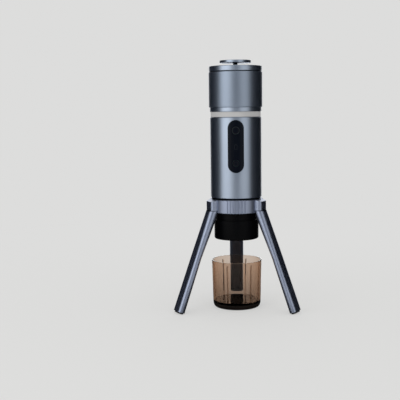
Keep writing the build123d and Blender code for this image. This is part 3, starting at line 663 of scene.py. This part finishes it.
@dataclass
class Holder:
    """The black coffee holder, with its neck, its stepped bore and a rounded foot."""

    neck_height: float = 9.8 * MM
    neck_step: float = 2.2 * MM
    neck_edge: float = 0.3 * MM
    neck_foot_edge: float = 0.25 * MM
    shoulder_edge: float = 0.7 * MM
    foot_edge: float = 2.3 * MM
    floor: float = 5.2 * MM
    floor_edge: float = 0.2 * MM
    bore: float = 25.06 * MM
    bore_edge: float = 0.2 * MM
    basket_room: float = 22.1 * MM
    basket_rim: float = 1.8 * MM
    spout: float = 5.0 * MM
    spout_edge: float = 0.1 * MM

    def build(self, shop: Workshop) -> None:
        """Turn the holder.

        Args:
            shop: The workshop with the materials.
        """
        body, basket = Span.of("holder_body"), Span.of("coffee_basket")
        neck, shoulder = body.radius - self.neck_step, body.high - self.neck_height
        floor, ledge = body.low + self.floor, basket.high - self.basket_rim
        outline = rounded([
            (self.spout, body.low, self.spout_edge), (body.radius, body.low, self.foot_edge),
            (body.radius, shoulder, self.shoulder_edge), (neck, shoulder, self.neck_foot_edge),
            (neck, body.high, self.neck_edge), (self.bore, body.high, self.bore_edge),
            (self.bore, ledge, 0.0), (self.basket_room, ledge, 0.0),
            (self.basket_room, floor, self.floor_edge), (self.spout, floor, 0.0)])
        shop.ring("coffee_holder_shell", outline, Body.HOLDER, Slot.PLASTIC, ("holder_body",))


@dataclass
class Cup:
    """The tinted tumbler: one closed wall whose inside swells into six ribs, on a dark dished base."""

    wall: float = 2.0 * MM
    wall_rows: int = 40
    segments: int = 720
    floor: float = 2.4 * MM
    foot_radius: float = 32.8 * MM
    rim_edge: float = 0.85 * MM
    rim_share: float = 1.2  # of rim_edge, in which the inner wall has no rows of its own
    rib_count: int = 6
    rib_phase: float = 7.0  # degrees
    rib_width: float = 1.8 * MM
    rib_reach: float = 0.6  # of rib_width, from the rib's middle to where its slope ends
    rib_slope: float = 0.2  # of rib_width
    rib_height: float = 1.5 * MM
    rib_drop: float = 4.5 * MM
    base_bottom: float = 28.4 * MM
    base_wall: float = 2.2 * MM
    base_steps: int = 14
    base_foot_edge: float = 0.3 * MM
    base_roof_edge: float = 0.5 * MM
    on_axis: float = 1e-9

    def build(self, shop: Workshop) -> None:
        """Make the wall and the base, whose outer side is a quarter of an ellipse.

        Args:
            shop: The workshop with the materials.
        """
        tint = shop.materials[Slot.TINT.value]
        piece("cup_wall", self.tumbler(), Body.CUP, Slot.TINT, tint, ("cup_body",))
        base = Span.of("cup_base")
        turn = np.linspace(0.0, pi / 2, self.base_steps)[:, None]
        drop = np.hstack((self.base_bottom + (self.foot_radius - self.base_bottom) * np.cos(turn),
                          base.high - (base.high - base.low) * np.sin(turn)))
        inner = self.base_bottom - self.base_wall
        roof = base.high - self.base_wall
        hollow = rounded([
            (self.base_bottom, base.low, 0.0), (inner, base.low, self.base_foot_edge),
            (inner, roof, self.base_roof_edge), (0.0, roof, 0.0)], closed=False)[1:]
        outline = np.vstack(([[0.0, base.high]], drop, hollow))
        shop.ring("cup_dark_base", outline, Body.CUP, Slot.DARK, ("cup_base",), closed=False)

    def tumbler(self) -> Shape:
        """Give the wall: a turned outline whose inner points move in where a rib stands.

        The rib's height over the inner wall is h * w(a) * v(z): w is 1 inside the rib's width and falls off
        smoothly beside it, and v is 1 up to a little below the rib's top and falls to 0 there.

        Returns:
            The points and the quads.
        """
        span = Span.of("cup_body")
        slope = (span.radius - self.foot_radius) / (span.high - span.low)
        floor = span.low + self.floor
        floor_bore = self.foot_radius + slope * self.floor - self.wall
        height = np.linspace(floor, span.high, self.wall_rows)[1:-1][::-1]
        outer = np.array([[0.0, span.low], [self.foot_radius, span.low]])
        rim = rounded([
            (self.foot_radius, span.low, 0.0), (span.radius, span.high, self.rim_edge),
            (span.radius - self.wall, span.high, self.rim_edge), (floor_bore, floor, 0.0)],
            closed=False)[1:-1]
        inner = np.stack((self.foot_radius + slope * (height - span.low) - self.wall, height), -1)
        inner = inner[inner[:, 1] < span.high - self.rim_share * self.rim_edge]
        outline = np.vstack((outer, rim, inner, [[floor_bore, floor], [0.0, floor]]))
        points, faces = turned(outline, self.segments, closed=False)
        grid = points.reshape(len(outline), self.segments, 3)
        inside = np.zeros(len(outline))
        inside[-len(inner) - 2:-1] = 1.0
        below = np.clip((span.high - self.rib_drop - outline[:, 1]) / self.rib_height, 0.0, 1.0)
        across = self.rib_across(floor_bore)
        depth = self.rib_height * (inside * below)[:, None] * across[None, :]
        radius = np.linalg.norm(grid[..., :2], axis=-1)
        share = np.where(radius > self.on_axis, (radius - depth) / np.maximum(radius, self.on_axis), 1.0)
        grid[..., :2] *= share[..., None]
        return grid.reshape(-1, 3), faces

    def rib_across(self, bore: float) -> Array:
        """Give the ribs' height around the cup, from 0 to 1: the smooth step 3 b^2 - 2 b^3 on each flank.

        Args:
            bore: The inner radius on which the ribs' width is measured.

        Returns:
            One value for each step around.
        """
        angle = np.linspace(0.0, 2 * pi, self.segments, endpoint=False)
        pitch = 2 * pi / self.rib_count
        off = np.abs((angle - radians(self.rib_phase) + pitch / 2) % pitch - pitch / 2) * bore
        flank = (self.rib_width * self.rib_reach - off) / (self.rib_width * self.rib_slope)
        beside = np.clip(flank, 0.0, 1.0)
        return beside * beside * (3 - 2 * beside)


@dataclass
class PanelMarks:
    """The faint printed marks: a ring on the power button, a charge mark and a cup on the brew button."""

    lift: float = 0.02 * MM
    thickness: float = 0.03 * MM
    line_points: int = 6
    ring_radius: float = 4.3 * MM
    ring_line: float = 0.9 * MM
    ring_points: int = 97
    bowl_radius: float = 2.65 * MM
    bowl_height: float = 3.3 * MM  # half of the bowl's height
    bowl_line: float = 0.75 * MM
    bowl_points: int = 33
    drop_side: float = 0.8 * MM
    drop_low: float = 0.9 * MM
    drop_high: float = 2.9 * MM
    drop_line: float = 0.5 * MM
    charge_level: float = 0.49  # of the panel's height
    charge_size: tuple[float, float] = (2.5 * MM, 3.9 * MM)
    charge_line: float = 0.4 * MM
    charge_points: int = 8  # on each side of the box
    cap_half: float = 1.1 * MM
    cap_line: float = 0.6 * MM

    def ribbon(self, path: Array, width: float, radius: float, loop: bool = False) -> Shape:
        """Carry a thin flat section along a path on the round panel.

        A path point (x, z) with sideways normal n becomes four points at x +- n w / 2, at two radii, and each
        goes to (x, -sqrt(r^2 - x^2), z).

        Args:
            path: The (x, z) points, in metres.
            width: The line's width.
            radius: The radius of the face that carries it.
            loop: Whether the path closes on itself.

        Returns:
            The points and the quads.
        """
        if loop:
            along = np.roll(path, -1, 0) - np.roll(path, 1, 0)
        else:
            along = np.gradient(path, axis=0)
        along = along / np.linalg.norm(along, axis=1, keepdims=True)
        side = np.stack((-along[:, 1], along[:, 0]), -1) * width / 2
        low, high = radius + self.lift, radius + self.lift + self.thickness
        flat = np.stack((path - side, path + side, path + side, path - side), 1)
        depth = np.array([low, low, high, high])[None, :]
        points = np.stack((flat[..., 0], -np.sqrt(depth**2 - flat[..., 0] ** 2), flat[..., 1]), -1)
        faces = grid_faces(len(path), 4, loop, True)
        if not loop:
            last = 4 * (len(path) - 1)
            faces = np.vstack((faces, [[3, 2, 1, 0]], [[last, last + 1, last + 2, last + 3]]))
        return points.reshape(-1, 3), faces

    @staticmethod
    def arc(middle: tuple[float, float], size: tuple[float, float], start: float, end: float,
            steps: int) -> Array:
        """Give points on an ellipse from one angle to another, in degrees."""
        angle = np.radians(np.linspace(start, end, steps))
        return np.stack((middle[0] + size[0] * np.cos(angle), middle[1] + size[1] * np.sin(angle)), -1)

    def build(self, shop: Workshop) -> None:
        """Lay the marks on the two buttons and on the panel between them.

        Args:
            shop: The workshop with the materials.
        """
        ink = shop.materials["mark"]
        panel_low, panel_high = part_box("panel")
        face = -panel_low.y
        self.power(ink, face)
        self.brew(ink, face)
        self.charge(ink, face, panel_low.z + self.charge_level * (panel_high.z - panel_low.z))

    def power(self, ink: bpy.types.Material, face: float) -> None:
        """Lay the ring on the power button.

        Args:
            ink: The marks' material.
            face: The radius of the panel's face.
        """
        low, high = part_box("power_button")
        middle = (0.0, (low.z + high.z) / 2)
        ring = self.arc(middle, (self.ring_radius, self.ring_radius), 0, 360, self.ring_points)[:-1]
        shape = self.ribbon(ring, self.ring_line, face, True)
        piece("power_mark", shape, Body.POWER, Slot.GLOSS, ink)

    def brew(self, ink: bpy.types.Material, face: float) -> None:
        """Lay the bowl, an open U, and its two drops on the brew button.

        Args:
            ink: The marks' material.
            face: The radius of the panel's face.
        """
        low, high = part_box("brew_button")
        z = (low.z + high.z) / 2
        wide, tall = self.bowl_radius, self.bowl_height
        round_end = self.arc((0.0, z - tall + wide), (wide, wide), 180, 360, self.bowl_points)
        bowl = np.vstack(([[-wide, z + tall]], round_end, [[wide, z + tall]]))
        piece("brew_mark_bowl", self.ribbon(bowl, self.bowl_line, face), Body.BREW, Slot.GLOSS, ink)
        height = np.linspace(z + self.drop_low, z + self.drop_high, self.line_points)
        for number, place in enumerate((-self.drop_side, self.drop_side)):
            drop = np.stack((np.full(self.line_points, place), height), -1)
            shape = self.ribbon(drop, self.drop_line, face)
            piece(f"brew_mark_drop_{number}", shape, Body.BREW, Slot.GLOSS, ink)

    def charge(self, ink: bpy.types.Material, face: float, z: float) -> None:
        """Lay the charge mark, an upright box with a short cap, on the panel.

        Args:
            ink: The marks' material.
            face: The radius of the panel's face.
            z: The height of the box's middle.
        """
        corners = self.arc((0.0, z), self.charge_size, 45, 405, 5)
        sides = [np.linspace(corners[side], corners[side + 1], self.charge_points)[:-1] for side in range(4)]
        shape = self.ribbon(np.vstack(sides), self.charge_line, face, True)
        piece("charge_mark_box", shape, Body.MACHINE, Slot.GLOSS, ink)
        across = np.linspace(-self.cap_half, self.cap_half, self.line_points)
        cap = np.stack((across, np.full(self.line_points, z + self.charge_size[1])), -1)
        piece("charge_mark_cap", self.ribbon(cap, self.cap_line, face), Body.MACHINE, Slot.GLOSS, ink)


# Stage


@dataclass(frozen=True)
class SoftBox:
    """A tall light, turned to the machine: its azimuth from the camera's side, its width and its power."""

    azimuth: float
    width: float
    power: float
    tall: float = 1.1
    back: float = 1.25
    height: float = 0.42

    def place(self, name: str) -> None:
        """Stand the light at its azimuth.

        Args:
            name: The light's name.
        """
        lamp = bpy.data.lights.new(name, "AREA")
        lamp.shape = "RECTANGLE"
        lamp.size, lamp.size_y, lamp.energy = self.width, self.tall, self.power
        turn = radians(self.azimuth)
        thing = put(name, lamp)
        thing.location = (self.back * sin(turn), -self.back * cos(turn), self.height)
        thing.rotation_euler = (pi / 2, 0.0, turn)


@dataclass(frozen=True)
class Card:
    """A dull card seen only in reflections: it lies on the floor from near to far, then stands up at far."""

    start: float
    end: float
    near: float
    height: float
    colour: Colour
    far: float = 0.9
    steps: int = 49

    def grid(self) -> Array:
        """Work out the points (r sin a, -r cos a, z) for azimuths a and for the places (r, z) up the card.

        Returns:
            The points, as rows of places and columns of azimuths.
        """
        places = dict.fromkeys(((self.near, FLOOR_GAP), (self.far, FLOOR_GAP), (self.far, self.height)))
        radius, height = np.array(list(places)).T[:, :, None]
        angle = np.radians(np.linspace(self.start, self.end, self.steps))[None, :]
        return np.stack((radius * np.sin(angle), -radius * np.cos(angle), height + 0 * angle), -1)

    def place(self, name: str) -> None:
        """Set up the card so that only glossy surfaces see it.

        Args:
            name: The card's name.
        """
        grid = self.grid()
        faces = grid_faces(*grid.shape[:2], False, False)
        mesh = bpy.data.meshes.new(name)
        mesh.from_pydata(grid.reshape(-1, 3).tolist(), [], faces.tolist())
        paint = Graph(name)
        paint.fill(paint.shader, {"Base Color": (*self.colour, 1), "Roughness": 1.0})
        mesh.materials.append(paint.material)
        thing = put(name, mesh)
        thing.visible_camera = thing.visible_shadow = False
        thing.visible_diffuse = thing.visible_transmission = False


@dataclass
class Studio:
    """The pale floor, the soft boxes, the cards and the camera at the photograph's angle."""

    pale: Colour = (0.722, 0.722, 0.716)
    floor_colour: Colour = (0.86, 0.86, 0.85)
    floor_rings: tuple[float, ...] = (0.0, 0.3, 1.0, 6.0)
    floor_segments: int = 96
    glow_reach: tuple[float, float] = (0.12, 0.9)
    glow_share: tuple[float, float] = (0.65, 1.0)
    camera_back: float = 1.096
    camera_height: float = 0.26905
    lens: float = 72.0
    sensor: float = 36.0
    pan: float = 2.61
    tilt: float = 6.28
    roll: float = -0.7
    boxes: dict[str, SoftBox] = field(default_factory=lambda: {
        "left_box": SoftBox(-43.0, 1.0, 3.9), "right_box": SoftBox(38.0, 0.8, 1.1),
        "back_box": SoftBox(180.0, 0.8, 3.0)})
    cards: dict[str, Card] = field(default_factory=lambda: {
        "left_card": Card(-150.0, -70.5, 0.12, 2.0, (0.004, 0.009, 0.022)),
        "right_card": Card(62.0, 150.0, 0.12, 2.0, (0.004, 0.007, 0.014)),
        "front_card": Card(-9.0, 17.0, 0.9, 1.1, (0.36, 0.38, 0.42)),
        # The card under the machine is a painted shade: a dark disc, seen only in reflections, standing for
        # the shade beneath it.
        "under_shade_card": Card(0.0, 360.0, 0.001, FLOOR_GAP, (0.02, 0.02, 0.024), far=0.12)})

    def build(self) -> None:
        """Set the floor, the world, the lights, the cards and the camera."""
        self.floor()
        self.world()
        for name, item in {**self.boxes, **self.cards}.items():
            item.place(name)
        self.camera()

    def floor(self) -> None:
        """Lay a wide flat disc."""
        outline = np.array([[radius, 0.0] for radius in self.floor_rings])
        mesh = clean_mesh("floor", turned(outline, self.floor_segments, closed=False))
        mesh.materials.append(self.floor_paint())
        put("floor", mesh)

    def floor_paint(self) -> bpy.types.Material:
        """Make the floor's paint: it glows as the world does, more so further out, so that no horizon shows.

        The glow counts only for rays from the camera, from gloss and through glass, so it doesn't light the
        machine.

        Returns:
            The material.
        """
        paint = Graph("pale_floor")
        matt, glow = paint.add("ShaderNodeBsdfDiffuse"), paint.add("ShaderNodeEmission")
        paint.fill(matt, {"Color": (*self.floor_colour, 1)})
        paint.fill(glow, {"Color": (*self.pale, 1)})
        out = paint.add("ShaderNodeVectorMath", operation="LENGTH")
        paint.link(paint.place, out.inputs[0])
        far = paint.spread(out.outputs["Value"], self.glow_reach, self.glow_share)
        far.node.interpolation_type = "SMOOTHSTEP"
        path = paint.add("ShaderNodeLightPath")
        seen = path.outputs["Is Camera Ray"]
        for kind in ("Is Glossy Ray", "Is Transmission Ray"):
            seen = self.combine(paint, "MAXIMUM", seen, path.outputs[kind])
        mix = paint.add("ShaderNodeMixShader")
        paint.link(self.combine(paint, "MULTIPLY", far, seen), mix.inputs["Fac"])
        paint.link(matt.outputs["BSDF"], mix.inputs[1])
        paint.link(glow.outputs["Emission"], mix.inputs[2])
        paint.link(mix.outputs["Shader"], paint.tree.nodes["Material Output"].inputs["Surface"])
        paint.tree.nodes.remove(paint.shader)
        return paint.material

    @staticmethod
    def combine(paint: Graph, how: str, first: bpy.types.NodeSocket,
                second: bpy.types.NodeSocket) -> bpy.types.NodeSocket:
        """Work out one value from two.

        Args:
            paint: The graph that gets the node.
            how: The operation's name.
            first: The first value's socket.
            second: The second value's socket.

        Returns:
            The socket with the result.
        """
        node = paint.add("ShaderNodeMath", operation=how)
        paint.link(first, node.inputs[0])
        paint.link(second, node.inputs[1])
        return node.outputs["Value"]

    def world(self) -> None:
        """Light everything evenly from a pale sky of strength 1."""
        world = bpy.data.worlds.new("pale_room")
        world.use_nodes = True
        sky = world.node_tree.nodes["Background"]
        Graph.fill(sky, {"Color": (*self.pale, 1), "Strength": 1.0})
        bpy.context.scene.world = world

    def camera(self) -> None:
        """Set the camera in front, level with the frosted ring, aimed a little left and down and rolled."""
        lens = bpy.data.cameras.new("front_camera")
        lens.lens, lens.sensor_width = self.lens, self.sensor
        eye = put("front_camera", lens)
        eye.location = (0.0, -self.camera_back, self.camera_height)
        aim = Euler((pi / 2 - radians(self.tilt), 0.0, radians(self.pan))).to_matrix()
        eye.rotation_euler = (aim @ Matrix.Rotation(radians(self.roll), 3, "Z")).to_euler()
        bpy.context.scene.camera = eye


def main() -> None:
    """Load the frame, dress it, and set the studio."""
    logging.basicConfig(level=logging.INFO, format="%(name)s: %(message)s")
    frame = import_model()
    bpy.context.scene.view_settings.view_transform = "Standard"
    shop = Workshop(frame)
    for assembly in (Lid(), Tank(), Holder(), Cup(), PanelMarks()):
        LOG.info("building %s", type(assembly).__name__)
        assembly.build(shop)
    Studio().build()


if __name__ == "__main__":
    main()
